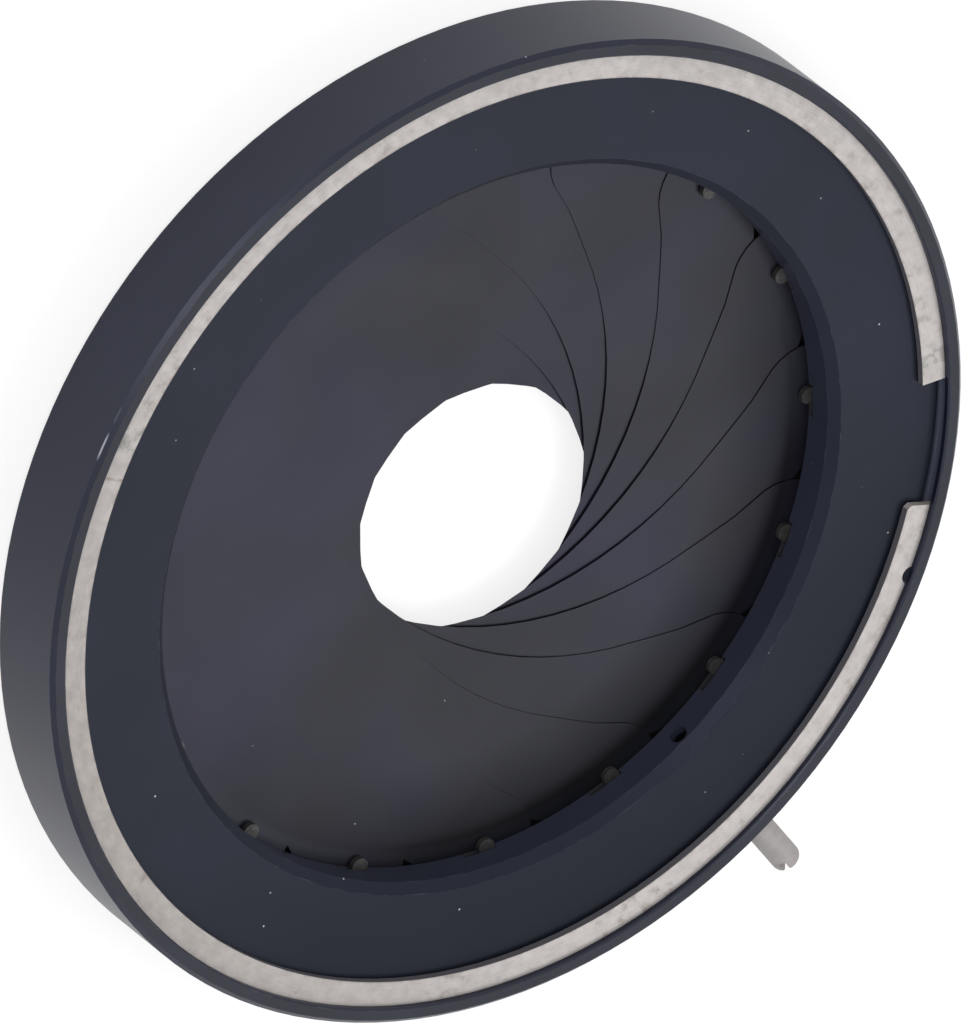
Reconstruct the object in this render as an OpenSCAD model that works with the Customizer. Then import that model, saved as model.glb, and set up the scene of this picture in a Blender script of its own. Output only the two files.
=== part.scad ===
/* [Housing] */
// Outer diameter of the housing
outer_d = 95; // [92:0.5:110]
// Height of the housing, from its rear face to its front rim
housing_h = 8.8; // [8.3:0.1:12]
// Width of the housing's floor, from the outer wall in to the bore
rim_w = 12.8; // [12:0.1:16]
// Thickness of the wall outside the drive ring
wall_t = 1.5; // [1.3:0.1:2.2]
// Thickness of the floor that carries the pivot pins
floor_t = 1.1; // [1:0.1:2]
// Floor left under each pivot hole
floor_skin = 0.3; // [0.2:0.05:0.6]
// Height of the space that holds the blades
blade_space = 2.5; // [2.2:0.1:3.2]
// Width of the shoulder that the drive ring turns on
shoulder_w = 0.4; // [0.3:0.05:0.6]
// Bevel on the outer front and rear edges
housing_bevel = 0.4; // [0.2:0.05:0.7]
// Bevel on the inner edge of the front rim
rim_bevel = 0.15; // [0.05:0.05:0.3]

/* [Drive ring] */
// Running clearance between the drive ring and the housing, on the radius
ring_clear = 0.05; // [0.02:0.01:0.1]
// End play of the drive ring, at each face
ring_play = 0.05; // [0.03:0.01:0.1]
// Bevel round the front edge of the bore
bore_bevel = 0.85; // [0.2:0.05:1.2]
// Bevel round the outer front edge of the drive ring
ring_bevel = 0.35; // [0.1:0.05:0.6]
// Depth of the slots in the rear face that take the drive pins
slot_depth = 0.6; // [0.5:0.05:1.2]

/* [Retaining ring] */
// Thickness of the retaining ring
clip_t = 0.7; // [0.6:0.1:1.2]
// Width of the retaining ring, from its outer edge to its inner edge
clip_w = 3; // [2:0.1:3.5]
// Depth of the groove behind the wall's inner face
groove_depth = 0.7; // [0.4:0.05:0.8]
// Depth of the retaining ring below the front rim
clip_recess = 0.65; // [0.3:0.05:0.8]
// Clearance round the retaining ring in its groove
clip_clear = 0.04; // [0.02:0.01:0.1]
// Angle of the middle of the retaining ring's gap, from the lever pin
gap_angle = 48.3; // [0:0.1:90]
// Angle that the gap spans
gap_span = 15.7; // [8:0.1:30]
// Corner cut on one end of the retaining ring
clip_corner = 0.4; // [0.2:0.1:1]
// Angle of the removal notch, from the lever pin
notch_angle = 31.9; // [20:0.1:36]
// Radius of the removal notch
notch_r = 0.9; // [0.4:0.1:1]

/* [Blades] */
// Number of blades
blade_count = 16; // [12:1:18]
// Blade sheet thickness
blade_t = 0.05; // [0.03:0.01:0.06]
// Distance from the bore wall out to the blades' inner edge when fully open
blade_hide = 0.7; // [0.4:0.1:1.2]
// Clearance between the blades and the wall round them
blade_clear = 0.3; // [0.1:0.05:0.4]
// Clearance of the blade pack above the floor and below the drive ring
pack_clear = 0.05; // [0.03:0.01:0.1]
// Distance from the pin centres to the blades' outer edge, and radius of their pivot ends
pin_edge = 4.3; // [3:0.1:4.6]
// Radius of the blades' drive ends
drive_end_r = 5; // [4.6:0.1:5.1]
// Distance that a drive pin's centre comes inside the bore wall at mid swing
drive_dip = 1.3; // [0.4:0.05:1.4]
// Aperture diameter at which the model stands
aperture_d = 23.3; // [12:0.1:50]
// Smallest aperture diameter
aperture_min_d = 6.4; // [6.4:0.1:12]
// Rise from one blade to the next near their ends
lap_rise = 0.16; // [0.12:0.01:0.18]

/* [Pins] */
// Diameter of the pivot pins and drive pins
pin_d = 1.6; // [1.2:0.1:1.8]
// Running clearance of the pivot pins, on the radius
pin_clear = 0.03; // [0.02:0.01:0.08]
// Diameter of the riveted tenon on each pin
tenon_d = 1; // [0.6:0.1:1.1]
// Height of each drive pin inside the drive ring
drive_reach = 0.45; // [0.3:0.05:0.5]
// Clearance of the drive pins in their slots, at each side
slot_clear = 0.05; // [0.02:0.01:0.1]

/* [Lever pin] */
// Diameter of the lever pin outside the housing
lever_d = 2.7; // [2.2:0.1:3.2]
// Diameter of the lever pin's screw thread
thread_d = 2; // [1.6:0.1:2.2]
// Tapping hole diameter, open to the bore
tap_d = 1.7; // [1.2:0.1:1.9]
// Length of thread in the drive ring
thread_l = 7; // [4:0.5:9]
// Length of the lever pin outside the housing
lever_l = 7.8; // [5:0.1:20]
// Gap between the lever pin's shank and the housing
lever_gap = 0.4; // [0.3:0.1:1]
// Clearance of the thread in the housing slot, at each side
lever_clear = 0.15; // [0.1:0.05:0.3]
// Radius of the edge of the lever pin's tip
tip_r = 0.7; // [0.3:0.1:1]
// Width of the screwdriver slot
driver_w = 0.4; // [0.3:0.05:0.8]
// Depth of the screwdriver slot
driver_depth = 0.65; // [0.4:0.05:1.4]
// Turn of the screwdriver slot about the lever pin, from upright
driver_angle = 33; // [0:1:180]

/* [Hidden] */
$fn = 48;
cut = 1;
pin_gap = 0.02;
outer_r = outer_d / 2;
bore_r = outer_r - rim_w;
seat_r = outer_r - wall_t;
cavity_r = seat_r - shoulder_w;
ring_r = seat_r - ring_clear;
groove_r = seat_r + groove_depth;
clip_r = groove_r - clip_clear;
clip_inner_r = clip_r - clip_w;
shoulder_z = floor_t + blade_space - ring_play;
ring_z = shoulder_z + ring_play;
groove_top = housing_h - clip_recess + clip_clear / 2;
groove_bottom = groove_top - clip_t - clip_clear;
clip_z = groove_bottom + clip_clear / 2;
ring_top = clip_z - ring_play;
lever_z = (ring_z + ring_top) / 2;
tap_end_r = ring_r - thread_l;

// A blade fully open: its inner and outer edges are arcs about the part's axis, its pivot pin is
// on +X at pin_circle_r, and its drive pin is on the same circle at blade_span.
blade_pitch = 360 / blade_count;
edge_in_r = bore_r + blade_hide;
edge_out_r = cavity_r - blade_clear;
pin_circle_r = edge_out_r - pin_edge;
inner_half = pin_circle_r - edge_in_r;
pin_distance = pin_circle_r + bore_r - drive_dip;
blade_span = 2 * asin(pin_distance / (2 * pin_circle_r));
rest_swing = swing(aperture_d);
full_swing = swing(aperture_min_d);
first_angle = blade_pitch / 2 - drive_angle(rest_swing);

// The drive ring turns at a steady rate for each degree of blade swing. The drive pins wander to
// either side of that, and their slots are wide enough to let them.
turn_ratio = 2.05;
wander = [for (b = [0 : 0.5 : full_swing])
    drive_angle(b) - drive_angle(rest_swing) - turn_ratio * (b - rest_swing)];
slot_offset = (min(wander) + max(wander)) / 2;
slot_side = [for (i = [0 : len(wander) - 1])
    drive_radius(i / 2) * abs(sin(wander[i] - slot_offset))];
slot_w = pin_d + 2 * max(slot_side) + 2 * slot_clear;
open_turn = -turn_ratio * rest_swing;
close_turn = turn_ratio * (full_swing - rest_swing);

// The blades lap like a spiral stair: each rises along its length, most steeply in the middle
// where it borders the aperture.
pivot_tip = asin(pin_edge / pin_circle_r);
drive_tip = asin(drive_end_r / pin_circle_r);
ramp_low = floor_t + pack_clear;
ramp_rise = blade_space - 2 * pack_clear - blade_t;
end_slope = lap_rise / blade_pitch;
mid_rise = ramp_rise - end_slope * (pivot_tip + blade_span + drive_tip);
mid_start = 0.2 * blade_span;
mid_end = 0.8 * blade_span;
widen_angle = 12;
station_step = 4;
end_steps = 6;

// Swing of a blade about its pivot pin, from fully open, that leaves an aperture of diameter d.
function swing(d) = 2 * asin((edge_in_r - d / 2) / (2 * pin_circle_r));

// Drive pin's place about the part's axis after a swing of b, with the pivot pin on +X.
function drive_place(b) = [
    pin_circle_r + pin_distance * cos(blade_span / 2 + 90 + b),
    pin_distance * sin(blade_span / 2 + 90 + b)
];
function drive_radius(b) = norm(drive_place(b));
function drive_angle(b) = (atan2(drive_place(b)[1], drive_place(b)[0]) + 360) % 360;

// Height of a blade's underside at angle a along it, with a smooth steep stretch in the middle.
function eased(x) = let (s = max(0, min(1, x))) s * s * (3 - 2 * s);
function ramp(a) = ramp_low
    + end_slope * (a + pivot_tip)
    + mid_rise * eased((a - mid_start) / (mid_end - mid_start));

// Half width of a round end of radius r at angle a away from its pin.
function end_half(r, a) = sqrt(max(0, r * r - pow(pin_circle_r * sin(a), 2)));

// Inner and outer edge at angle a along the blade. Its round ends are small enough to turn clear
// of the wall, and the inner edge widens to its full width between them.
function inner_edge(a) =
    a < 0 ? pin_circle_r * cos(a) - end_half(pin_edge, a)
    : a > blade_span ? pin_circle_r * cos(a - blade_span) - end_half(drive_end_r, a - blade_span)
    : edge_in_r
        + (inner_half - pin_edge) * eased(1 - a / widen_angle)
        + (inner_half - drive_end_r) * eased(1 - (blade_span - a) / widen_angle);
function outer_edge(a) =
    a < 0 ? pin_circle_r * cos(a) + end_half(pin_edge, a)
    : a > blade_span ? min(edge_out_r,
        pin_circle_r * cos(a - blade_span) + end_half(drive_end_r, a - blade_span))
    : edge_out_r;

// Angles at which the blade is drawn: close together round its ends, even between its pins.
function end_angles(r) = [for (i = [1 : end_steps])
    asin(r * sin(90 * i / (end_steps + 1)) / pin_circle_r)];
body_steps = ceil(blade_span / station_step);
stations = concat(
    [for (i = [end_steps - 1 : -1 : 0]) -end_angles(pin_edge)[i]],
    [for (i = [0 : body_steps]) blade_span * i / body_steps],
    [for (a = end_angles(drive_end_r)) blade_span + a]
);

function ring_point(r, a, z) = [r * cos(a), r * sin(a), z];
function section(a) = [
    ring_point(inner_edge(a), a, ramp(a)),
    ring_point(outer_edge(a), a, ramp(a)),
    ring_point(outer_edge(a), a, ramp(a) + blade_t),
    ring_point(inner_edge(a), a, ramp(a) + blade_t)
];

// A closed skin through a row of four-point sections.
module skin(sections) {
    last = len(sections) - 1;
    points = [for (s = sections) each s];
    sides = [for (i = [0 : last - 1], j = [0 : 3])
        let (k = (j + 1) % 4, p = 4 * i, q = 4 * i + 4)
        each [[p + j, q + j, q + k], [p + j, q + k, p + k]]];
    ends = [[0, 1, 2], [0, 2, 3],
        [4 * last, 4 * last + 2, 4 * last + 1], [4 * last, 4 * last + 3, 4 * last + 2]];
    polyhedron(points, concat(sides, ends));
}

// Takes a blade from fully open to its place as blade number i, at the rest aperture.
module blade_place(i) {
    rotate(first_angle + (i - 1) * blade_pitch)
    translate([pin_circle_r, 0, 0])
    rotate(rest_swing)
    translate([-pin_circle_r, 0, 0])
        children();
}

module at_pivot() {
    translate([pin_circle_r, 0, 0]) children();
}

module at_drive() {
    rotate(blade_span) translate([pin_circle_r, 0, 0]) children();
}

module at_lever() {
    translate([0, 0, lever_z]) rotate([0, 90, 0]) children();
}

module blade(i) {
    color([0.27, 0.27, 0.3])
    blade_place(i)
    difference() {
        skin([for (a = stations) section(a)]);
        at_pivot() tenon_hole();
        at_drive() tenon_hole();
    }
}

module tenon_hole() {
    cylinder(h = housing_h, d = tenon_d + 2 * pin_gap);
}

// A pin that stands under the blade in its floor hole, riveted through the blade.
module pivot_pin(i) {
    foot_z = floor_skin + pin_gap;
    seat_z = ramp(-asin(pin_d / 2 / pin_circle_r)) - pin_gap;
    color([0.6, 0.58, 0.56])
    blade_place(i)
    at_pivot() union() {
        translate([0, 0, foot_z]) cylinder(h = seat_z - foot_z, d = pin_d);
        translate([0, 0, foot_z]) cylinder(h = ramp(0) + blade_t - foot_z, d = tenon_d);
    }
}

// A pin that stands on the blade and reaches into a slot of the drive ring.
module drive_pin(i) {
    head_z = ring_z + drive_reach;
    seat_z = ramp(blade_span + asin(pin_d / 2 / pin_circle_r)) + blade_t + pin_gap;
    foot_z = ramp(blade_span);
    color([0.55, 0.51, 0.48])
    blade_place(i)
    at_drive() union() {
        translate([0, 0, seat_z]) cylinder(h = head_z - seat_z, d = pin_d);
        translate([0, 0, foot_z]) cylinder(h = head_z - foot_z, d = tenon_d);
    }
}

module housing() {
    color([0.17, 0.175, 0.21])
    difference() {
        rotate_extrude() polygon([
            [bore_r, 0],
            [outer_r - housing_bevel, 0],
            [outer_r, housing_bevel],
            [outer_r, housing_h - housing_bevel],
            [outer_r - housing_bevel, housing_h],
            [seat_r + rim_bevel, housing_h],
            [seat_r, housing_h - rim_bevel],
            [seat_r, groove_top],
            [groove_r, groove_top],
            [groove_r, groove_bottom],
            [seat_r, groove_bottom],
            [seat_r, shoulder_z],
            [cavity_r, shoulder_z],
            [cavity_r, floor_t],
            [bore_r, floor_t]
        ]);
        for (i = [1 : blade_count])
            blade_place(i) at_pivot() translate([0, 0, floor_skin])
                cylinder(h = floor_t, d = pin_d + 2 * pin_clear);
        lever_slot();
    }
}

// The slot through the wall that the lever pin travels in. Its straight stretch is a hair lower
// than its round ends.
module lever_slot() {
    slot_r = thread_d / 2 + lever_clear;
    slot_half = slot_r - pin_gap;
    inner_r = cavity_r - cut;
    slot_run = outer_r + cut - inner_r;
    rotate(open_turn)
    rotate_extrude(angle = close_turn - open_turn)
    translate([inner_r, lever_z - slot_half]) square([slot_run, 2 * slot_half]);
    for (a = [open_turn, close_turn])
        rotate(a) at_lever() translate([0, 0, inner_r]) cylinder(h = slot_run, r = slot_r);
}

module drive_ring() {
    color([0.15, 0.155, 0.19])
    difference() {
        rotate_extrude() polygon([
            [bore_r, ring_z],
            [ring_r, ring_z],
            [ring_r, ring_top - ring_bevel],
            [ring_r - ring_bevel, ring_top],
            [bore_r + bore_bevel, ring_top],
            [bore_r, ring_top - bore_bevel]
        ]);
        for (i = [1 : blade_count])
            rotate((i - 0.5) * blade_pitch + slot_offset) drive_slot();
        at_lever() cylinder(h = outer_r, d = tap_d);
        at_lever() translate([0, 0, tap_end_r]) cylinder(h = outer_r, d = thread_d + 2 * pin_gap);
    }
}

// A slot for one drive pin, open to the bore, with a round outer end.
module drive_slot() {
    start_r = bore_r - cut;
    translate([start_r, -slot_w / 2, ring_z - cut])
        cube([pin_circle_r - start_r, slot_w, slot_depth + cut]);
    translate([pin_circle_r, 0, ring_z - cut]) cylinder(h = slot_depth + cut, d = slot_w);
}

module retaining_ring() {
    color([0.74, 0.71, 0.69])
    difference() {
        rotate(gap_angle + gap_span / 2)
        rotate_extrude(angle = 360 - gap_span)
        translate([clip_inner_r, clip_z]) square([clip_w, clip_t]);
        rotate(notch_angle) translate([seat_r + notch_r / 3, 0, clip_z - cut])
            cylinder(h = clip_t + 2 * cut, r = notch_r);
        rotate(gap_angle - gap_span / 2) translate([clip_inner_r, 0, clip_z - cut])
            rotate(45) translate([-clip_corner, -clip_corner, 0] / sqrt(2))
            cube([clip_corner * sqrt(2), clip_corner * sqrt(2), clip_t + 2 * cut]);
    }
}

// The lever pin, drawn upright from the part's axis and then laid along +X.
module lever_pin() {
    neck_end = outer_r + lever_gap;
    tip = outer_r + lever_l;
    shoulder = tip - tip_r;
    color([0.66, 0.64, 0.63])
    at_lever()
    difference() {
        union() {
            translate([0, 0, tap_end_r + pin_gap])
                cylinder(h = neck_end - tap_end_r - pin_gap, d = thread_d);
            translate([0, 0, neck_end]) cylinder(h = shoulder - neck_end, d = lever_d);
            translate([0, 0, shoulder]) rotate_extrude() intersection() {
                square([lever_d / 2, tip_r]);
                union() {
                    square([lever_d / 2 - tip_r, tip_r]);
                    translate([lever_d / 2 - tip_r, 0]) circle(tip_r);
                }
            }
        }
        rotate(driver_angle) translate([-lever_d, -driver_w / 2, tip - driver_depth])
            cube([2 * lever_d, driver_w, driver_depth + cut]);
    }
}

housing();
drive_ring();
retaining_ring();
lever_pin();
for (i = [1 : blade_count]) {
    blade(i);
    pivot_pin(i);
    drive_pin(i);
}
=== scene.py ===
"""Finishes for a drop-in iris diaphragm: anodised housing and drive ring, lapped blades,
sprung retaining ring and slotted lever pin, on a pale floor under soft light."""

import math
from collections import namedtuple

import bpy
from mathutils import Matrix, Vector


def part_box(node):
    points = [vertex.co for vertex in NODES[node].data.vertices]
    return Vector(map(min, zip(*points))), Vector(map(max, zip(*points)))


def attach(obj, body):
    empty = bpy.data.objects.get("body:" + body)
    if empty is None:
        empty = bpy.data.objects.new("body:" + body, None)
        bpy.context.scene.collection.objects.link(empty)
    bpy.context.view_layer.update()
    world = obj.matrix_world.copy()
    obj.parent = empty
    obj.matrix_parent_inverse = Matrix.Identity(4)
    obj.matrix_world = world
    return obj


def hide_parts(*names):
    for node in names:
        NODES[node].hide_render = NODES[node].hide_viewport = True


bl_info = {
    "name": "Iris Diaphragm Finishes",
    "version": (1, 0, 0),
    "blender": (4, 5, 0),
    "location": "3D View > Sidebar > Iris",
    "description": "Dresses an iris diaphragm with machined, anodised and spring-steel finishes",
    "category": "Material",
}

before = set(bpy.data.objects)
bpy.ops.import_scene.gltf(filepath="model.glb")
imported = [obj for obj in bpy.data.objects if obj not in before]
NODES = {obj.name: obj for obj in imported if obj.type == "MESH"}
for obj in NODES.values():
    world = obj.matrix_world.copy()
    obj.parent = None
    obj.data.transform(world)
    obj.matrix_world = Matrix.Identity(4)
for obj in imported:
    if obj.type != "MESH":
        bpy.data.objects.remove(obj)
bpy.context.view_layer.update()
BLADES = [name for name in NODES if name.startswith("blade_")]
PIVOT_PINS = [name for name in NODES if name.startswith("pivot_pin_")]
DRIVE_PINS = [name for name in NODES if name.startswith("drive_pin_")]
HOUSING_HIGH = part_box("housing")[1]
RING_LOW, RING_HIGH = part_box("drive_ring")
CLIP_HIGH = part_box("retaining_ring")[1]
LEVER_LOW, LEVER_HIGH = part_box("lever_pin")
LEVER_Z = (LEVER_LOW.z + LEVER_HIGH.z) / 2
SKIN = 0.00001  # a hair's breadth, by which a patch of colour clears the face it ends at


# ---------------------------------------------------------------- sizes, colours, wear and painted shade

class IrisSizes(bpy.types.PropertyGroup):
    housing_bevel: bpy.props.FloatProperty(
        name="Housing bevel", description="Bevel on the housing's outer edges",
        default=0.0004, unit="LENGTH", precision=5)
    bore_r: bpy.props.FloatProperty(
        name="Bore radius", description="Radius of the bore through floor and drive ring",
        default=0.0347, unit="LENGTH", precision=5)
    seat_r: bpy.props.FloatProperty(
        name="Seat radius", description="Radius of the wall that the drive ring turns in",
        default=0.046, unit="LENGTH", precision=5)
    bore_bevel: bpy.props.FloatProperty(
        name="Bore bevel", description="Bevel round the front of the drive ring's bore",
        default=0.00085, unit="LENGTH", precision=5)
    rim_bevel: bpy.props.FloatProperty(
        name="Rim bevel", description="Bevel on the inner edge of the front rim",
        default=0.00015, unit="LENGTH", precision=5)
    groove_depth: bpy.props.FloatProperty(
        name="Groove depth", description="How far the groove is cut past the seat's wall",
        default=0.0008, unit="LENGTH", precision=5)
    pin_slot_depth: bpy.props.FloatProperty(
        name="Pin slot depth", description="Depth of the drive pins' slots in the drive ring",
        default=0.00062, unit="LENGTH", precision=5)
    clip_inner_r: bpy.props.FloatProperty(
        name="Retaining ring bore", description="Inner radius of the retaining ring",
        default=0.04366, unit="LENGTH", precision=5)
    gap_angle: bpy.props.FloatProperty(
        name="Gap angle", description="Middle of the retaining ring's gap, from the lever pin",
        default=math.radians(48.3), subtype="ANGLE", unit="ROTATION")
    thread_pitch: bpy.props.FloatProperty(
        name="Thread pitch", description="Pitch of the lever pin's thread",
        default=0.0004, unit="LENGTH", precision=5)
    thread_r: bpy.props.FloatProperty(
        name="Thread radius", description="Radius of the lever pin's thread at its crest",
        default=0.00099, unit="LENGTH", precision=5)
    thread_turns: bpy.props.IntProperty(
        name="Thread turns", description="Whole turns of thread on the lever pin", default=21)
    neck_end: bpy.props.FloatProperty(
        name="Neck end", description="From the axis to where the lever pin's shank starts",
        default=0.0479, unit="LENGTH", precision=5)
    lever_tip_r: bpy.props.FloatProperty(
        name="Lever tip radius", description="Rounding of the lever pin's tip",
        default=0.0007, unit="LENGTH", precision=5)
    driver_w: bpy.props.FloatProperty(
        name="Driver slot width", description="Width of the screwdriver slot",
        default=0.0007, unit="LENGTH", precision=5)
    driver_depth: bpy.props.FloatProperty(
        name="Driver slot depth", description="Depth of the screwdriver slot",
        default=0.0014, unit="LENGTH", precision=5)
    driver_angle: bpy.props.FloatProperty(
        name="Driver slot angle", description="Turn of the screwdriver slot about the pin",
        default=math.radians(38.0), subtype="ANGLE", unit="ROTATION")
    turning_pitch: bpy.props.FloatProperty(
        name="Turning marks", description="Spacing of the fine marks left by turning",
        default=0.00022, unit="LENGTH", precision=5)


class IrisColours(bpy.types.PropertyGroup):
    anodised: bpy.props.FloatVectorProperty(
        name="Anodised face", description="Matte blue-black of the anodised faces",
        default=(0.0102, 0.0124, 0.021), subtype="COLOR", size=3)
    anodised_side: bpy.props.FloatVectorProperty(
        name="Anodised side", description="Blue-black of the housing's turned outer wall",
        default=(0.0115, 0.014, 0.031), subtype="COLOR", size=3)
    # painted light: the bore's wall is given a colour several times paler than the face, lifting
    # the shade inside the bore
    bore_with_painted_light: bpy.props.FloatVectorProperty(
        name="Anodised bore", description="Paler blue-black of the drive ring's bore",
        default=(0.045, 0.05, 0.08), subtype="COLOR", size=3)
    bevel: bpy.props.FloatVectorProperty(
        name="Bore bevel", description="Anodised bevel round the drive ring's bore",
        default=(0.017, 0.0195, 0.032), subtype="COLOR", size=3)
    land: bpy.props.FloatVectorProperty(
        name="Rim land", description="Anodised face of the housing's rim, rubbed paler",
        default=(0.021, 0.0225, 0.03), subtype="COLOR", size=3)
    # painted light: the walls round the retaining ring and the drive pins' slots are given a much
    # paler colour, lifting the shade in these recesses
    groove: bpy.props.FloatVectorProperty(
        name="Groove", description="Anodised walls inside the rim, round the retaining ring",
        default=(0.13, 0.14, 0.20), subtype="COLOR", size=3)
    # worn edges and painted highlight: the lighter colour along the turned edges stands for wear
    # and for light caught on rounded edges; the knocks use it for real rubs
    worn_edge_and_highlight: bpy.props.FloatVectorProperty(
        name="Worn edge", description="Aluminium that shows where an edge is worn",
        default=(0.16, 0.165, 0.18), subtype="COLOR", size=3)
    dust: bpy.props.FloatVectorProperty(
        name="Dust", description="Stray specks of pale dust",
        default=(0.42, 0.42, 0.43), subtype="COLOR", size=3)
    blade: bpy.props.FloatVectorProperty(
        name="Blade steel", description="Blackened spring steel of the blades",
        default=(0.0165, 0.0163, 0.027), subtype="COLOR", size=3)
    # painted light: the blades are given this paler colour under the drive ring, lifting the shade
    # in the drive pins' slots
    rubbed: bpy.props.FloatVectorProperty(
        name="Rubbed blade", description="Blade steel rubbed bare under the drive ring",
        default=(0.09, 0.09, 0.105), subtype="COLOR", size=3)
    oiled: bpy.props.FloatVectorProperty(
        name="Oiled steel", description="Warmer grey where the blades hold oil",
        default=(0.0150, 0.0157, 0.0185), subtype="COLOR", size=3)
    clip: bpy.props.FloatVectorProperty(
        name="Retaining ring steel", description="Dull spring steel of the retaining ring",
        default=(0.405, 0.379, 0.368), subtype="COLOR", size=3)
    cut_side: bpy.props.FloatVectorProperty(
        name="Cut side", description="Darker cut side of the retaining ring",
        default=(0.115, 0.112, 0.125), subtype="COLOR", size=3)
    stain: bpy.props.FloatVectorProperty(
        name="Stain", description="Brown stain on the retaining ring",
        default=(0.20, 0.155, 0.125), subtype="COLOR", size=3)
    scuff: bpy.props.FloatVectorProperty(
        name="Scuff", description="Grey rub marks on the retaining ring",
        default=(0.17, 0.175, 0.165), subtype="COLOR", size=3)
    lever: bpy.props.FloatVectorProperty(
        name="Lever pin steel", description="Plated steel of the lever pin",
        default=(0.30, 0.28, 0.274), subtype="COLOR", size=3)
    pin: bpy.props.FloatVectorProperty(
        name="Blade pin steel", description="Steel of the pivot and drive pins",
        default=(0.047, 0.045, 0.045), subtype="COLOR", size=3)


# Wear and marks of the iris, and the painted shade on the drive ring's face and on the blades.
class IrisWearAndPaintedShade(bpy.types.PropertyGroup):
    knock_angle: bpy.props.FloatProperty(
        name="Knock angle", description="Place of the bright knock on the front rim",
        default=math.radians(-152.9), subtype="ANGLE", unit="ROTATION")
    knock_reach: bpy.props.FloatProperty(
        name="Knock reach", description="Half the length of the knock",
        default=0.0014, unit="LENGTH", precision=5)
    nick_angle: bpy.props.FloatProperty(
        name="Nick angle", description="Place of the faint nick beside the knock",
        default=math.radians(-156.6), subtype="ANGLE", unit="ROTATION")
    nick_reach: bpy.props.FloatProperty(
        name="Nick reach", description="Half the length of the nick",
        default=0.0009, unit="LENGTH", precision=5)
    scratch_angle: bpy.props.FloatProperty(
        name="Scratch angle", description="Place of the stained scratch across the ring",
        default=math.radians(-149.3), subtype="ANGLE", unit="ROTATION")
    smudge_angle: bpy.props.FloatProperty(
        name="Smudge angle", description="Place of the smudge beside the scratch",
        default=math.radians(-154.2), subtype="ANGLE", unit="ROTATION")
    scuff_angle: bpy.props.FloatProperty(
        name="Scuff angle", description="Place of the scuff near the retaining ring's gap",
        default=math.radians(59.3), subtype="ANGLE", unit="ROTATION")
    stained_side: bpy.props.FloatProperty(
        name="Stained side", description="Side on which the retaining ring is browner",
        default=math.radians(-100.0), subtype="ANGLE", unit="ROTATION")
    # the retaining ring's colour is darker toward this side
    darker_side: bpy.props.FloatProperty(
        name="Dull side", description="Side on which the retaining ring is duller",
        default=math.radians(-95.0), subtype="ANGLE", unit="ROTATION")
    # painted shade: the side toward which the drive ring's face is painted darker
    painted_shade_side: bpy.props.FloatProperty(
        name="Deep side", description="Side on which the drive ring's face is deeper in tone",
        default=math.radians(-20.0), subtype="ANGLE", unit="ROTATION")
    # painted shade: the tone that the drive ring's face is painted down to on that side
    ring_painted_shade: bpy.props.FloatProperty(
        name="Drive ring shade", description="Tone of the drive ring's face on its deep side",
        default=0.64, subtype="FACTOR", min=0.0, max=1.0)
    # painted shade: the tone that the blades are painted down to near the bore's wall by the lever
    blade_painted_shade: bpy.props.FloatProperty(
        name="Blade shade", description="Tone of the blades near the bore's wall by the lever",
        default=0.33, subtype="FACTOR", min=0.0, max=1.0)
    housing_dust: bpy.props.FloatProperty(
        name="Housing dust", description="Share of the specks kept on the housing",
        default=0.12, subtype="FACTOR", min=0.0, max=1.0)
    ring_dust: bpy.props.FloatProperty(
        name="Drive ring dust", description="Share of the specks kept on the drive ring",
        default=0.25, subtype="FACTOR", min=0.0, max=1.0)
    blade_dust: bpy.props.FloatProperty(
        name="Blade dust", description="Share of the specks kept on the blades",
        default=0.12, subtype="FACTOR", min=0.0, max=1.0)


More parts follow.
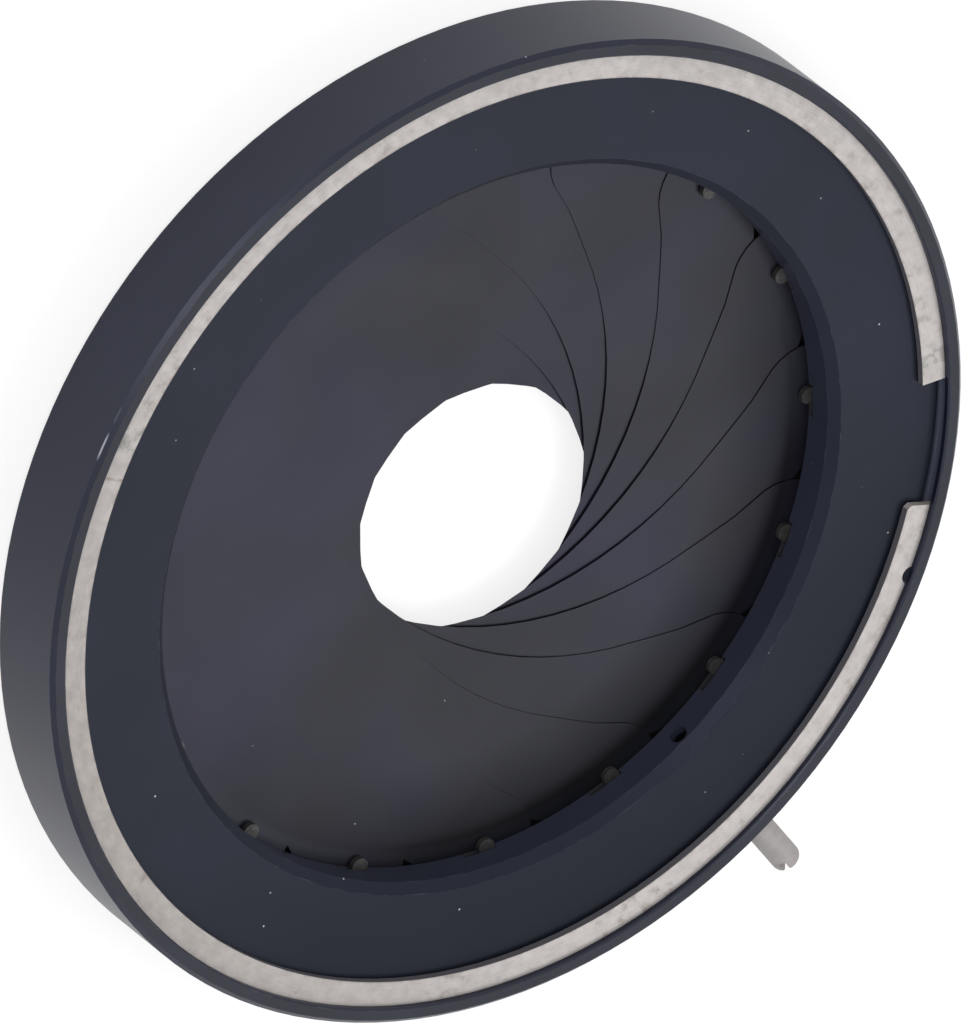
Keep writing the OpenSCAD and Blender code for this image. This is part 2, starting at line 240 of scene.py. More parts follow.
class IrisStage(bpy.types.PropertyGroup):
    light_level: bpy.props.FloatProperty(
        name="Light level", description="Strength of the soft light all round", default=0.8)
    lamp_watts: bpy.props.FloatProperty(
        name="Soft lamp", description="Power of the soft lamp behind the iris",
        default=0.29, subtype="POWER", unit="POWER")
    lamp_size: bpy.props.FloatProperty(
        name="Soft lamp size", description="Diameter of the soft lamp",
        default=0.18, unit="LENGTH")
    lamp_place: bpy.props.FloatVectorProperty(
        name="Soft lamp place", description="Middle of the soft lamp",
        default=(0.16, 0.028, 0.225), subtype="TRANSLATION", size=3, unit="LENGTH")
    front_watts: bpy.props.FloatProperty(
        name="Front lamp", description="Power of the wide lamp behind the camera",
        default=28.0, subtype="POWER", unit="POWER")
    front_size: bpy.props.FloatProperty(
        name="Front lamp size", description="Diameter of the wide lamp",
        default=1.8, unit="LENGTH")
    front_place: bpy.props.FloatVectorProperty(
        name="Front lamp place", description="Middle of the wide lamp",
        default=(-2.55, -0.35, 2.66), subtype="TRANSLATION", size=3, unit="LENGTH")
    lit_point: bpy.props.FloatVectorProperty(
        name="Lit point", description="Point of the housing's wall that both lamps face",
        default=(-0.047, 0.0, 0.0), subtype="TRANSLATION", size=3, unit="LENGTH")
    floor_size: bpy.props.FloatProperty(
        name="Floor size", description="Side of the square floor", default=6.0, unit="LENGTH")
    floor_grey: bpy.props.FloatProperty(
        name="Floor grey", description="How much light the floor gives back to the iris",
        default=0.8, subtype="FACTOR", min=0.0, max=1.0)
    floor_shadow: bpy.props.FloatProperty(
        name="Floor shadow", description="How strongly shadows show on the floor",
        default=0.25, subtype="FACTOR", min=0.0, max=1.0)
    floor_glow: bpy.props.FloatProperty(
        name="Floor glow", description="White that the floor shows by itself", default=0.78)
    lens: bpy.props.FloatProperty(
        name="Lens", description="Focal length of the camera", default=1276.992,
        subtype="DISTANCE_CAMERA")
    distance: bpy.props.FloatProperty(
        name="Camera distance", description="From the camera to the aim point",
        default=3.163451, unit="LENGTH")
    azimuth: bpy.props.FloatProperty(
        name="Azimuth", description="Direction of the camera round the optical axis",
        default=math.radians(-82.194), subtype="ANGLE", unit="ROTATION")
    elevation: bpy.props.FloatProperty(
        name="Elevation", description="Height of the camera over the front rim's plane",
        default=math.radians(45.94), subtype="ANGLE", unit="ROTATION")
    roll: bpy.props.FloatProperty(
        name="Roll", description="Turn of the camera about its own view",
        default=math.radians(-128.05), subtype="ANGLE", unit="ROTATION")
    aim: bpy.props.FloatVectorProperty(
        name="Aim point", description="Point at the middle of the picture",
        default=(-0.00457736, -0.00066052, 0.0088), subtype="TRANSLATION", size=3,
        unit="LENGTH", precision=6)


# ---------------------------------------------------------------- node helpers

def node(tree, kind, inputs=None, **settings):
    made = tree.nodes.new(kind)
    for key, value in settings.items():
        setattr(made, key, value)
    for key, value in (inputs or {}).items():
        if isinstance(value, bpy.types.NodeSocket):
            tree.links.new(value, made.inputs[key])
        else:
            made.inputs[key].default_value = value
    return made


def maths(tree, operation, a, b=0.0, c=0.0):
    return node(tree, "ShaderNodeMath", {0: a, 1: b, 2: c}, operation=operation).outputs[0]


def blend(tree, share, a, b):
    made = node(tree, "ShaderNodeMix", {0: share, 6: a, 7: b}, data_type="RGBA")
    return made.outputs[2]


def spread(tree, value, low, high, to_low=0.0, to_high=1.0):
    return node(tree, "ShaderNodeMapRange",
                {0: value, 1: low, 2: high, 3: to_low, 4: to_high}).outputs[0]


def step(tree, share, a, b):
    """The number a where share is 0 and b where it is 1."""
    return node(tree, "ShaderNodeMapRange", {0: share, 3: a, 4: b}).outputs[0]


def rgba(colour, gain=1.0):
    return tuple(channel * gain for channel in colour) + (1.0,)


class Finish:
    """A new material whose patterns follow the iris's own axis."""

    def __init__(self, name, roughness, metallic=0.0, specular=0.5):
        self.material = bpy.data.materials.new(name)
        self.material.use_nodes = True
        self.tree = self.material.node_tree
        self.tree.nodes.clear()
        self.shader = node(self.tree, "ShaderNodeBsdfPrincipled", {
            "Roughness": roughness, "Metallic": metallic, "Specular IOR Level": specular})
        node(self.tree, "ShaderNodeOutputMaterial", {"Surface": self.shader.outputs[0]})
        self.place = node(self.tree, "ShaderNodeTexCoord").outputs["Object"]
        split = node(self.tree, "ShaderNodeSeparateXYZ", {0: self.place})
        self.x, self.y, self.z = split.outputs
        flat = node(self.tree, "ShaderNodeCombineXYZ", {0: self.x, 1: self.y})
        self.radius = node(self.tree, "ShaderNodeVectorMath", {0: flat.outputs[0]},
                           operation="LENGTH").outputs["Value"]

    def noise(self, size, detail=2.0, roughness=0.5, vector=None):
        return node(self.tree, "ShaderNodeTexNoise", {
            "Vector": vector or self.place, "Scale": 1 / size, "Detail": detail,
            "Roughness": roughness}).outputs[0]

    def vary(self, noise, low=0.0, high=1.0):
        """Noise spread from low to high: it mostly lies between 0.3 and 0.7."""
        return spread(self.tree, noise, 0.3, 0.7, low, high)

    def scaled(self, colour, factor):
        return node(self.tree, "ShaderNodeVectorMath", {0: colour, "Scale": factor},
                    operation="SCALE").outputs[0]

    def line_noise(self, value, size, detail=2.0):
        return node(self.tree, "ShaderNodeTexNoise", {
            "W": value, "Scale": 1 / size, "Detail": detail},
            noise_dimensions="1D").outputs[0]

    def specks(self, cell, size, share):
        """Sparse round specks: one at most in each cell, on a share of the cells."""
        cells = node(self.tree, "ShaderNodeTexVoronoi", {
            "Vector": self.place, "Scale": 1 / cell}, voronoi_dimensions="3D")
        dot = spread(self.tree, cells.outputs["Distance"], size / cell, 0.4 * size / cell)
        chosen = node(self.tree, "ShaderNodeSeparateColor", {0: cells.outputs["Color"]})
        picked = maths(self.tree, "LESS_THAN", chosen.outputs[0], share)
        return maths(self.tree, "MULTIPLY", dot, picked)

    def near_edges(self, edges, reach):
        """1 on the turned edges given as (radius, height), falling to 0 at reach."""
        nearest = None
        for edge_r, edge_z in edges:
            across = maths(self.tree, "SUBTRACT", self.radius, edge_r)
            along = maths(self.tree, "SUBTRACT", self.z, edge_z)
            square = maths(self.tree, "MULTIPLY", across, across)
            gap = maths(self.tree, "SQRT", maths(self.tree, "MULTIPLY_ADD", along, along, square))
            nearest = gap if nearest is None else maths(self.tree, "MINIMUM", nearest, gap)
        return spread(self.tree, nearest, reach, 0.2 * reach)

    def toward(self, angle):
        """Distance from the axis, measured in the direction of the angle about it."""
        return node(self.tree, "ShaderNodeVectorMath", {
            0: self.place, 1: (math.cos(angle), math.sin(angle), 0)},
            operation="DOT_PRODUCT").outputs["Value"]

    def at_angle(self, angle, reach):
        """1 where the part is crossed at the angle about its axis, falling to 0 at reach."""
        gap = maths(self.tree, "ABSOLUTE", self.toward(angle + math.pi / 2))
        facing = maths(self.tree, "GREATER_THAN", self.toward(angle), 0.0)
        return maths(self.tree, "MULTIPLY", spread(self.tree, gap, reach, 0.5 * reach), facing)

    def round_the_axis(self, start):
        """Distance along the ring from the angle start, radius and height, as one vector.

        The seam of the angle falls at start, so it belongs in a gap."""
        turned = node(self.tree, "ShaderNodeVectorRotate",
                      {"Vector": self.place, "Angle": -start - math.pi},
                      rotation_type="Z_AXIS").outputs[0]
        split = node(self.tree, "ShaderNodeSeparateXYZ", {0: turned})
        angle = maths(self.tree, "ARCTAN2", split.outputs[1], split.outputs[0])
        arc = maths(self.tree, "MULTIPLY", angle, self.radius)
        return node(self.tree, "ShaderNodeCombineXYZ",
                    {0: arc, 1: self.radius, 2: self.z}).outputs[0]

    def bump(self, height, strength, depth):
        made = node(self.tree, "ShaderNodeBump",
                    {"Height": height, "Strength": strength, "Distance": depth})
        self.tree.links.new(made.outputs[0], self.shader.inputs["Normal"])

    def feed(self, socket, value):
        self.tree.links.new(value, self.shader.inputs[socket])


def put_on(names, finish):
    for name in names:
        slots = NODES[name].data.materials
        slots.clear()
        slots.append(finish.material)


# ---------------------------------------------------------------- finishes

Zone = namedtuple("Zone", "where colour specular roughness", defaults=(0.12, 0.445))
Knock = namedtuple("Knock", "angle reach strength")


def inside(radius=1.0, high=1.0):
    """Where a finish lies within a radius of the axis and under a height."""
    def where(finish):
        near = maths(finish.tree, "LESS_THAN", finish.radius, radius)
        below = maths(finish.tree, "LESS_THAN", finish.z, high)
        return maths(finish.tree, "MULTIPLY", near, below)
    return where


def anodised(name, colours, turning_pitch, edges, zones, dust_share, painted_shade_side=0.0, shade=1.0,
             knocks=()):
    """Blue-black anodised aluminium with fine turning marks, worn edges with a painted highlight
    along them, and a little dust.

    edges are turned edges as (radius, height). Each zone lies over those before it. The bare
    face carries painted shade: its colour and specular level fall to the tone shade toward its
    painted shade side. A knock is a bright rub on the first edge."""
    finish = Finish(name, 0.45, metallic=0.4, specular=0.12)
    tree = finish.tree
    profile = maths(tree, "MULTIPLY_ADD", finish.z, 0.73, finish.radius)
    marks = finish.line_noise(profile, turning_pitch, 3.0)
    grain = finish.noise(0.00013)
    cloud = finish.noise(0.012, 3.0)
    tone = maths(tree, "MULTIPLY_ADD", finish.vary(grain), 0.10, finish.vary(cloud, 0.86, 1.04))
    # painted shade: the face's colour and specular level are scaled down toward the painted shade
    # side, in place of the darker light there; the zones below are left unshaded
    far = spread(tree, finish.toward(painted_shade_side), 0.005, 0.05, 1.0, shade)
    tint = finish.scaled(tuple(colours.anodised), far)
    gloss = maths(tree, "MULTIPLY", far, 0.12)
    rough = finish.vary(marks, 0.43, 0.46)
    for zone in zones:
        share = zone.where(finish)
        tint = blend(tree, share, tint, rgba(zone.colour))
        gloss = step(tree, share, gloss, zone.specular)
        rough = step(tree, share, rough, zone.roughness)
    # worn edges and painted highlight: a lighter colour along the turned edges, for wear and for
    # the light that rounded edges catch
    wear = maths(tree, "MULTIPLY", finish.near_edges(edges, 0.00004),
                 spread(tree, finish.noise(0.0016, 4.0), 0.5, 0.7, 0.0, 0.3))
    worn_and_highlit = blend(tree, wear, finish.scaled(tint, tone), rgba(colours.worn_edge_and_highlight))
    for knock in knocks:
        rub = maths(tree, "MULTIPLY", finish.near_edges(edges[:1], 0.00013),
                    finish.at_angle(knock.angle, knock.reach))
        worn_and_highlit = blend(tree, maths(tree, "MULTIPLY", rub, knock.strength), worn_and_highlit,
                     rgba(colours.worn_edge_and_highlight, 3.0))
    dust = finish.specks(0.002, 0.00011, dust_share)
    finish.feed("Base Color", blend(tree, dust, worn_and_highlit, rgba(colours.dust)))
    finish.feed("Specular IOR Level", gloss)
    finish.feed("Roughness", rough)
    finish.bump(maths(tree, "MULTIPLY_ADD", marks, 0.12, grain), 0.12, 0.00001)
    return finish


def blade_steel(colours, bore_r, shade, dust_share):
    """Blackened spring steel, satin, with a fine even grain and stray dust.

    The blades carry painted shade: their colour and specular level fall to the tone shade near
    the bore's wall on the lever's side. Where the drive ring lies on them they carry a paler
    painted light, which lifts the shade under the ring."""
    finish = Finish("blade", 0.42, metallic=0.6, specular=0.2)
    tree = finish.tree
    grain = finish.noise(0.00011)
    cloud = finish.noise(0.009, 3.0)
    tone = maths(tree, "MULTIPLY_ADD", finish.vary(grain), 0.14, finish.vary(cloud, 0.86, 1.02))
    # painted shade: darker toward the bore's wall on the lever's side, easing off again at the
    # wall's foot
    lever_side = spread(tree, finish.toward(0.0), -0.004, 0.024)
    outward = spread(tree, finish.radius, 0.0245, 0.033)
    foot = spread(tree, finish.radius, 0.033, 0.0341, 1.0, 0.0)
    painted_shade_share = maths(tree, "MULTIPLY", maths(tree, "MULTIPLY", lever_side, outward), foot)
    # depth is the painted shade's tone, put on the colour and on the specular level
    depth = spread(tree, painted_shade_share, 0.0, 1.0, 0.96, shade)
    oiled = spread(tree, finish.noise(0.022), 0.42, 0.62, 0.0, 0.8)
    tint = blend(tree, oiled, rgba(colours.blade), rgba(colours.oiled))
    coated = finish.scaled(tint, maths(tree, "MULTIPLY", tone, depth))
    # painted light: a paler colour on the blades' roots under the drive ring, lifting the shade
    # there
    under_ring = maths(tree, "GREATER_THAN", finish.radius, bore_r + 10 * SKIN)
    with_painted_light = blend(tree, under_ring, coated, rgba(colours.rubbed))
    dust = maths(tree, "MULTIPLY", finish.specks(0.0022, 0.0001, dust_share), 0.8)
    finish.feed("Base Color", blend(tree, dust, with_painted_light, rgba(colours.dust)))
    finish.feed("Specular IOR Level", maths(tree, "MULTIPLY", depth, 0.2))
    finish.feed("Roughness", finish.vary(cloud, 0.38, 0.46))
    finish.bump(grain, 0.22, 0.00001)
    return finish


def clip_steel(colours, wear, gap_angle, inner_r):
    """Dull spring steel with rolled grain along the ring, brown stains and dark edges."""
    finish = Finish("clip", 0.5, metallic=0.1, specular=0.3)
    tree = finish.tree
    along = finish.round_the_axis(gap_angle)
    drawn_out = node(tree, "ShaderNodeVectorMath", {0: along, 1: (0.06, 1.0, 1.0)},
                     operation="MULTIPLY").outputs[0]
    streaks = finish.noise(0.00012, vector=drawn_out)
    mottle = finish.noise(0.0011, 5.0, 0.62)
    patch = finish.noise(0.0065, 4.0, 0.6)
    pits = finish.noise(0.00035, 3.0, 0.6)
    tone = maths(tree, "MULTIPLY_ADD", finish.vary(streaks), 0.12,
                 spread(tree, mottle, 0.3, 0.72, 1.0, 0.84))
    # the colour is darker toward the darker side
    dull = spread(tree, finish.toward(wear.darker_side), 0.012, 0.045, 1.0, 0.86)
    steel = finish.scaled(tuple(colours.clip), maths(tree, "MULTIPLY", tone, dull))

    stained = maths(tree, "MULTIPLY", spread(tree, mottle, 0.53, 0.68),
                    spread(tree, patch, 0.48, 0.62))
    spotted = maths(tree, "MULTIPLY", spread(tree, pits, 0.62, 0.72),
                    spread(tree, patch, 0.4, 0.7, 0.1, 0.7))
    rust = maths(tree, "MULTIPLY", spread(tree, finish.radius, inner_r + 0.00022, inner_r),
                 spread(tree, mottle, 0.4, 0.62, 0.1, 0.75))
    scratch = maths(tree, "MULTIPLY", finish.at_angle(wear.scratch_angle, 0.0002),
                    spread(tree, pits, 0.35, 0.6, 0.3, 0.8))
    brown = maths(tree, "MAXIMUM", maths(tree, "MULTIPLY", stained, 0.6),
                  maths(tree, "MULTIPLY", spotted, 0.6))
    browner = spread(tree, finish.toward(wear.stained_side), 0.02, 0.045, 0.0, 0.2)
    for share in (rust, browner, scratch):
        brown = maths(tree, "MAXIMUM", brown, share)
    aged = blend(tree, brown, steel, rgba(colours.stain))

    smudge = maths(tree, "MULTIPLY", finish.at_angle(wear.smudge_angle, 0.0014),
                   spread(tree, mottle, 0.42, 0.6, 0.1, 0.7))
    scuffed = maths(tree, "MULTIPLY", finish.at_angle(wear.scuff_angle, 0.0011),
                    spread(tree, finish.noise(0.0006, 4.0), 0.44, 0.52, 0.5, 0.0))
    rubbed = blend(tree, maths(tree, "MAXIMUM", smudge, scuffed), aged, rgba(colours.scuff))
    cut_side = spread(tree, finish.radius, inner_r + 4 * SKIN, inner_r + SKIN)
    finish.feed("Base Color", blend(tree, cut_side, rubbed, rgba(colours.cut_side)))
    finish.feed("Roughness", finish.vary(mottle, 0.42, 0.6))
    finish.bump(maths(tree, "MULTIPLY_ADD", pits, 0.6, streaks), 0.25, 0.000012)
    return finish


def pin_steel(colours):
    """Plain steel of the blade pins, browned a little."""
    finish = Finish("pin", 0.5, metallic=0.3, specular=0.25)
    mottle = finish.noise(0.0005, 4.0)
    browned = spread(finish.tree, mottle, 0.35, 0.65)
    finish.feed("Base Color", blend(finish.tree, browned, rgba(colours.pin),
                                    rgba(colours.pin, 0.62)))
    finish.feed("Roughness", finish.vary(mottle, 0.42, 0.6))
    finish.bump(finish.noise(0.0001), 0.3, 0.000008)
    return finish


def lever_steel(colours):
    """Plated steel with fine turning marks round the pin."""
    finish = Finish("lever", 0.5, metallic=0.1, specular=0.2)
    marks = finish.line_noise(finish.x, 0.00009)
    mottle = finish.noise(0.0009, 4.0)
    tone = maths(finish.tree, "MULTIPLY_ADD", finish.vary(marks), 0.12,
                 finish.vary(mottle, 0.82, 1.0))
    finish.feed("Base Color", finish.scaled(tuple(colours.lever), tone))
    finish.feed("Roughness", finish.vary(mottle, 0.48, 0.6))
    finish.bump(marks, 0.2, 0.000008)
    return finish


# ---------------------------------------------------------------- the lever pin

def newest(name):
    """Names the object just added and bakes its place into its mesh."""
    made = bpy.context.object
    made.name = made.data.name = name
    bpy.ops.object.transform_apply(location=True, rotation=True, scale=True)
    return made


def turned_pin(name, radius, start, end, broken_end, edge_r, segments):
    """A round pin along X whose edge is rounded or chamfered at one end.

    broken_end is 1 for the end that is further along X and -1 for the other one."""
    bpy.ops.object.select_all(action="DESELECT")
    bpy.ops.mesh.primitive_cylinder_add(
        vertices=48, radius=radius, depth=end - start, location=((start + end) / 2, 0, 0),
        rotation=(0, math.pi / 2, 0))
    pin = newest(name)
    bpy.ops.object.mode_set(mode="EDIT")
    bpy.ops.mesh.select_all(action="DESELECT")
    bpy.ops.object.mode_set(mode="OBJECT")
    for face in pin.data.polygons:
        face.select = face.normal.x * broken_end > 0.9
    bpy.ops.object.mode_set(mode="EDIT")
    bpy.ops.mesh.select_mode(type="FACE")
    bpy.ops.mesh.region_to_loop()
    bpy.ops.mesh.bevel(offset=edge_r, segments=segments, profile=0.5, affect="EDGES")
    bpy.ops.object.mode_set(mode="OBJECT")
    return pin


def use_modifier(piece, kind, **settings):
    bpy.context.view_layer.objects.active = piece
    made = piece.modifiers.new(kind.lower(), kind)
    for key, value in settings.items():
        setattr(made, key, value)
    bpy.ops.object.modifier_apply(modifier=made.name)


def thread_ridge(sizes, start):
    """One ridge of sixty-degree thread wound round the X axis."""
    side = 0.9 * sizes.thread_pitch  # a tenth of the pitch is left as a flat between turns
    reach = side / math.sqrt(3)
    bpy.ops.object.select_all(action="DESELECT")
    bpy.ops.mesh.primitive_circle_add(
        vertices=3, radius=reach, fill_type="NOTHING",
        location=(start + side / 2, 0, sizes.thread_r - reach), rotation=(math.pi / 2, 0, 0))
    ridge = newest("thread_ridge")
    use_modifier(ridge, "SCREW", axis="X", angle=2 * math.pi, steps=24, render_steps=24,
                 iterations=sizes.thread_turns, screw_offset=sizes.thread_pitch,
                 use_smooth_shade=False)
    bpy.ops.object.mode_set(mode="EDIT")
    bpy.ops.mesh.select_all(action="SELECT")
    bpy.ops.mesh.fill_holes(sides=3)
    bpy.ops.mesh.normals_make_consistent(inside=False)
    bpy.ops.object.mode_set(mode="OBJECT")
    return ridge


class IRIS_OT_make_lever_pin(bpy.types.Operator):
    """Make the lever pin with its thread, its rounded tip and its screwdriver slot"""
    bl_idname = "iris.make_lever_pin"
    bl_label = "Make lever pin"

    def execute(self, context):
        sizes = context.scene.iris_sizes
        shank_r = (LEVER_HIGH.z - LEVER_LOW.z) / 2
        tip = LEVER_HIGH.x
        shank = turned_pin("lever_screw", shank_r, sizes.neck_end, tip, 1, sizes.lever_tip_r, 8)
        self.cut_slot(sizes, shank, tip)
        root_r = sizes.thread_r - 0.6 * sizes.thread_pitch
        lead, sunk = 0.0002, 0.0002
        core = turned_pin("lever_core", root_r, LEVER_LOW.x, sizes.neck_end + sunk, -1, lead, 1)
        ridge = thread_ridge(sizes, LEVER_LOW.x + lead)
        bpy.ops.object.select_all(action="DESELECT")
        for piece in (ridge, core, shank):
            piece.select_set(True)
        context.view_layer.objects.active = shank
        bpy.ops.object.join()
        shank.location.z = LEVER_Z
        bpy.ops.object.transform_apply(location=True)
        bpy.ops.object.shade_smooth_by_angle(angle=math.radians(32))
        shank.data.materials.append(lever_steel(context.scene.iris_colours).material)
        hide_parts("lever_pin")
        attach(shank, "ring")
        return {"FINISHED"}

    def cut_slot(self, sizes, shank, tip):
        over = 0.0003  # how far the cutter stands out of the tip
        bpy.ops.object.select_all(action="DESELECT")
        bpy.ops.mesh.primitive_cube_add(
            size=1, location=(tip + (over - sizes.driver_depth) / 2, 0, 0),
            rotation=(sizes.driver_angle, 0, 0),
            scale=(sizes.driver_depth + over, sizes.driver_w, 0.005))
        cutter = newest("slot_cutter")
        use_modifier(shank, "BOOLEAN", object=cutter, operation="DIFFERENCE", solver="EXACT")
        bpy.data.objects.remove(cutter)


class IRIS_OT_finish_housing(bpy.types.Operator):
    """Anodise the housing"""
    bl_idname = "iris.finish_housing"
    bl_label = "Finish housing"

    def execute(self, context):
        scene = context.scene
        sizes, colours, wear = scene.iris_sizes, scene.iris_colours, scene.iris_wear
        outer, top, bevel = HOUSING_HIGH.y, HOUSING_HIGH.z, sizes.housing_bevel
        edges = [(outer, top - bevel), (outer - bevel, top), (sizes.seat_r + sizes.rim_bevel, top),
                 (outer, bevel), (outer - bevel, 0.0), (sizes.bore_r, 0.0)]
        zones = [Zone(inside(), colours.land),
                 Zone(inside(high=top - 2 * SKIN), colours.anodised_side, 0.5, 0.36),
                 # painted light: the groove round the retaining ring is paler, lifting the shade in
                 # it
                 Zone(inside(sizes.seat_r + sizes.groove_depth, CLIP_HIGH.z + 3 * SKIN),
                      colours.groove)]
        knocks = [Knock(wear.knock_angle, wear.knock_reach, 0.8),
                  Knock(wear.nick_angle, wear.nick_reach, 0.1)]
        put_on(["housing"], anodised("housing", colours, sizes.turning_pitch, edges, zones,
                                     wear.housing_dust, knocks=knocks))
        return {"FINISHED"}


class IRIS_OT_finish_ring(bpy.types.Operator):
    """Anodise the drive ring"""
    bl_idname = "iris.finish_ring"
    bl_label = "Finish drive ring"

    def execute(self, context):
        scene = context.scene
        sizes, colours, wear = scene.iris_sizes, scene.iris_colours, scene.iris_wear
        top, bevel_foot = RING_HIGH.z, RING_HIGH.z - sizes.bore_bevel
        bevel_r = sizes.bore_r + sizes.bore_bevel
        edges = [(bevel_r, top), (sizes.bore_r, bevel_foot)]
        zones = [Zone(inside(bevel_r, top - 2 * SKIN), colours.bevel),
                 # painted light: the bore's wall, here and in the last zone, is paler than the face
                 Zone(inside(bevel_r, bevel_foot), colours.bore_with_painted_light, roughness=0.37),
                 # painted light: the drive pins' slots take the groove's much paler colour, lifting
                 # the shade in them
                 Zone(inside(high=RING_LOW.z + sizes.pin_slot_depth), colours.groove),
                 Zone(inside(sizes.bore_r + SKIN, bevel_foot), colours.bore_with_painted_light,
                      roughness=0.37)]
        put_on(["drive_ring"], anodised("ring", colours, sizes.turning_pitch, edges, zones,
                                        wear.ring_dust, wear.painted_shade_side, wear.ring_painted_shade))
        return {"FINISHED"}


class IRIS_OT_finish_blades(bpy.types.Operator):
    """Blacken the blades"""
    bl_idname = "iris.finish_blades"
    bl_label = "Finish blades"

    def execute(self, context):
        scene = context.scene
        put_on(BLADES, blade_steel(scene.iris_colours, scene.iris_sizes.bore_r,
                                   scene.iris_wear.blade_painted_shade, scene.iris_wear.blade_dust))
        return {"FINISHED"}


class IRIS_OT_finish_clip(bpy.types.Operator):
    """Give the retaining ring its dull spring steel"""
    bl_idname = "iris.finish_clip"
    bl_label = "Finish retaining ring"

    def execute(self, context):
        scene = context.scene
        put_on(["retaining_ring"], clip_steel(
            scene.iris_colours, scene.iris_wear, scene.iris_sizes.gap_angle,
            scene.iris_sizes.clip_inner_r))
        return {"FINISHED"}


class IRIS_OT_finish_pins(bpy.types.Operator):
    """Brown the blades' pivot and drive pins"""
    bl_idname = "iris.finish_pins"
    bl_label = "Finish blade pins"

    def execute(self, context):
        put_on(PIVOT_PINS + DRIVE_PINS, pin_steel(context.scene.iris_colours))
        return {"FINISHED"}


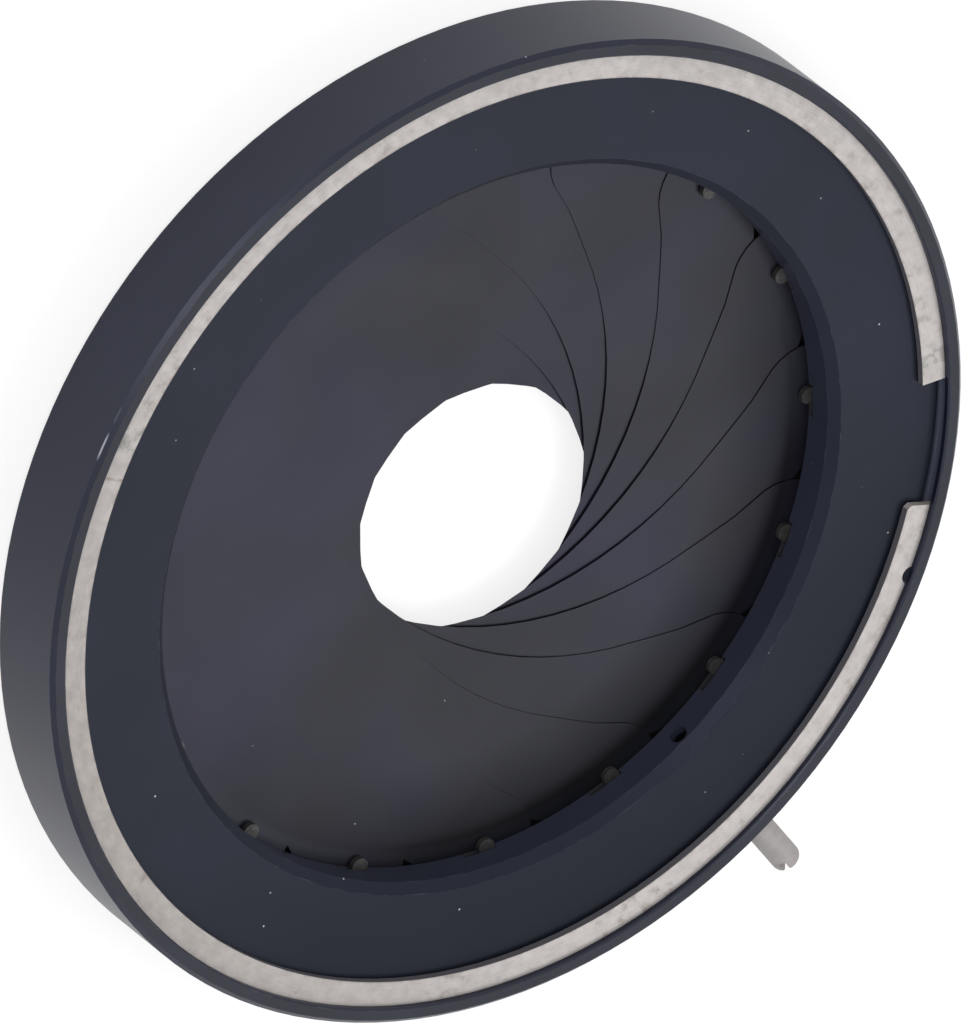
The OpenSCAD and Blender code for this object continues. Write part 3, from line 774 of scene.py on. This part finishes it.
class IRIS_OT_stage(bpy.types.Operator):
    """Lay the floor and set the soft light and the camera"""
    bl_idname = "iris.stage"
    bl_label = "Stage"

    def execute(self, context):
        scene, stage = context.scene, context.scene.iris_stage
        scene.view_settings.view_transform = "Standard"
        self.floor(stage)
        self.world(scene, stage)
        self.lamp("soft_lamp", stage.lamp_place, stage.lamp_size, stage.lamp_watts,
                  stage.lit_point)
        self.lamp("front_lamp", stage.front_place, stage.front_size, stage.front_watts,
                  stage.lit_point)
        self.camera(scene, stage)
        return {"FINISHED"}

    def floor(self, stage):
        bpy.ops.object.select_all(action="DESELECT")
        bpy.ops.mesh.primitive_plane_add(size=stage.floor_size, location=(0, 0, -2 * SKIN))
        floor = bpy.context.object
        floor.name = "floor"
        material = bpy.data.materials.new("pale_floor")
        material.use_nodes = True
        tree = material.node_tree
        tree.nodes.clear()
        plain = node(tree, "ShaderNodeBsdfDiffuse", {"Color": rgba(3 * [stage.floor_grey])})
        shaded = node(tree, "ShaderNodeBsdfDiffuse", {"Color": rgba(3 * [stage.floor_shadow])})
        glow = node(tree, "ShaderNodeEmission", {
            "Color": (1, 1, 1, 1), "Strength": stage.floor_glow})
        seen = node(tree, "ShaderNodeAddShader", {0: shaded.outputs[0], 1: glow.outputs[0]})
        mixed = node(tree, "ShaderNodeMixShader", {
            0: self.seen_ray(tree), 1: plain.outputs[0], 2: seen.outputs[0]})
        node(tree, "ShaderNodeOutputMaterial", {"Surface": mixed.outputs[0]})
        floor.data.materials.append(material)

    def seen_ray(self, tree):
        """1 for rays that show the background: straight, mirrored or through glass."""
        path = node(tree, "ShaderNodeLightPath")
        glossy = maths(tree, "MAXIMUM", path.outputs["Is Camera Ray"],
                       path.outputs["Is Glossy Ray"])
        return maths(tree, "MAXIMUM", glossy, path.outputs["Is Transmission Ray"])

    def world(self, scene, stage):
        world = bpy.data.worlds.new("soft_tent")
        scene.world = world
        world.use_nodes = True
        tree = world.node_tree
        tree.nodes.clear()
        light = node(tree, "ShaderNodeBackground",
                     {"Color": (1, 1, 1, 1), "Strength": stage.light_level})
        white = node(tree, "ShaderNodeBackground", {"Color": (1, 1, 1, 1), "Strength": 1.0})
        mixed = node(tree, "ShaderNodeMixShader", {
            0: self.seen_ray(tree), 1: light.outputs[0], 2: white.outputs[0]})
        node(tree, "ShaderNodeOutputWorld", {"Surface": mixed.outputs[0]})

    def lamp(self, name, place, size, watts, lit_point):
        bpy.ops.object.select_all(action="DESELECT")
        bpy.ops.object.light_add(type="AREA", location=place)
        lamp = bpy.context.object
        lamp.name = name
        lamp.data.shape = "DISK"
        lamp.data.size = size
        lamp.data.energy = watts
        aim = Vector(lit_point) - lamp.location
        lamp.rotation_euler = aim.to_track_quat("-Z", "Y").to_euler()

    def camera(self, scene, stage):
        data = bpy.data.cameras.new("camera")
        data.lens = stage.lens
        data.clip_start, data.clip_end = 0.1, 20.0
        camera = bpy.data.objects.new("camera", data)
        scene.collection.objects.link(camera)
        turn, lift = stage.azimuth, stage.elevation
        back = Vector((math.sin(turn) * math.cos(lift), -math.cos(turn) * math.cos(lift),
                       math.sin(lift)))
        level_up = (Vector((0, 0, 1)) - back * back.z).normalized()
        level_right = level_up.cross(back)
        up = level_up * math.cos(stage.roll) + level_right * math.sin(stage.roll)
        right = up.cross(back)
        turned = Matrix((right, up, back)).transposed().to_4x4()
        camera.matrix_world = Matrix.Translation(Vector(stage.aim) + back * stage.distance) @ turned
        scene.camera = camera


STEPS = [IRIS_OT_stage, IRIS_OT_finish_housing, IRIS_OT_finish_ring, IRIS_OT_finish_blades,
         IRIS_OT_finish_clip, IRIS_OT_finish_pins, IRIS_OT_make_lever_pin]


class IRIS_PT_panel(bpy.types.Panel):
    bl_label = "Iris diaphragm"
    bl_idname = "IRIS_PT_panel"
    bl_space_type = "VIEW_3D"
    bl_region_type = "UI"
    bl_category = "Iris"

    def draw(self, context):
        scene, layout = context.scene, self.layout
        for group in (scene.iris_sizes, scene.iris_colours, scene.iris_wear, scene.iris_stage):
            box = layout.box()
            for prop in group.bl_rna.properties:
                if prop.identifier not in {"rna_type", "name"}:
                    box.prop(group, prop.identifier)
        for step in STEPS:
            layout.operator(step.bl_idname)


CLASSES = [IrisSizes, IrisColours, IrisWearAndPaintedShade, IrisStage] + STEPS + [IRIS_PT_panel]


def register():
    for cls in CLASSES:
        bpy.utils.register_class(cls)
    bpy.types.Scene.iris_sizes = bpy.props.PointerProperty(type=IrisSizes)
    bpy.types.Scene.iris_colours = bpy.props.PointerProperty(type=IrisColours)
    bpy.types.Scene.iris_wear = bpy.props.PointerProperty(type=IrisWearAndPaintedShade)
    bpy.types.Scene.iris_stage = bpy.props.PointerProperty(type=IrisStage)


def unregister():
    del bpy.types.Scene.iris_sizes
    del bpy.types.Scene.iris_colours
    del bpy.types.Scene.iris_wear
    del bpy.types.Scene.iris_stage
    for cls in reversed(CLASSES):
        bpy.utils.unregister_class(cls)


def main():
    register()
    bpy.ops.iris.stage()
    bpy.ops.iris.finish_housing()
    bpy.ops.iris.finish_ring()
    bpy.ops.iris.finish_blades()
    bpy.ops.iris.finish_clip()
    bpy.ops.iris.finish_pins()
    bpy.ops.iris.make_lever_pin()


if __name__ == "__main__":
    main()
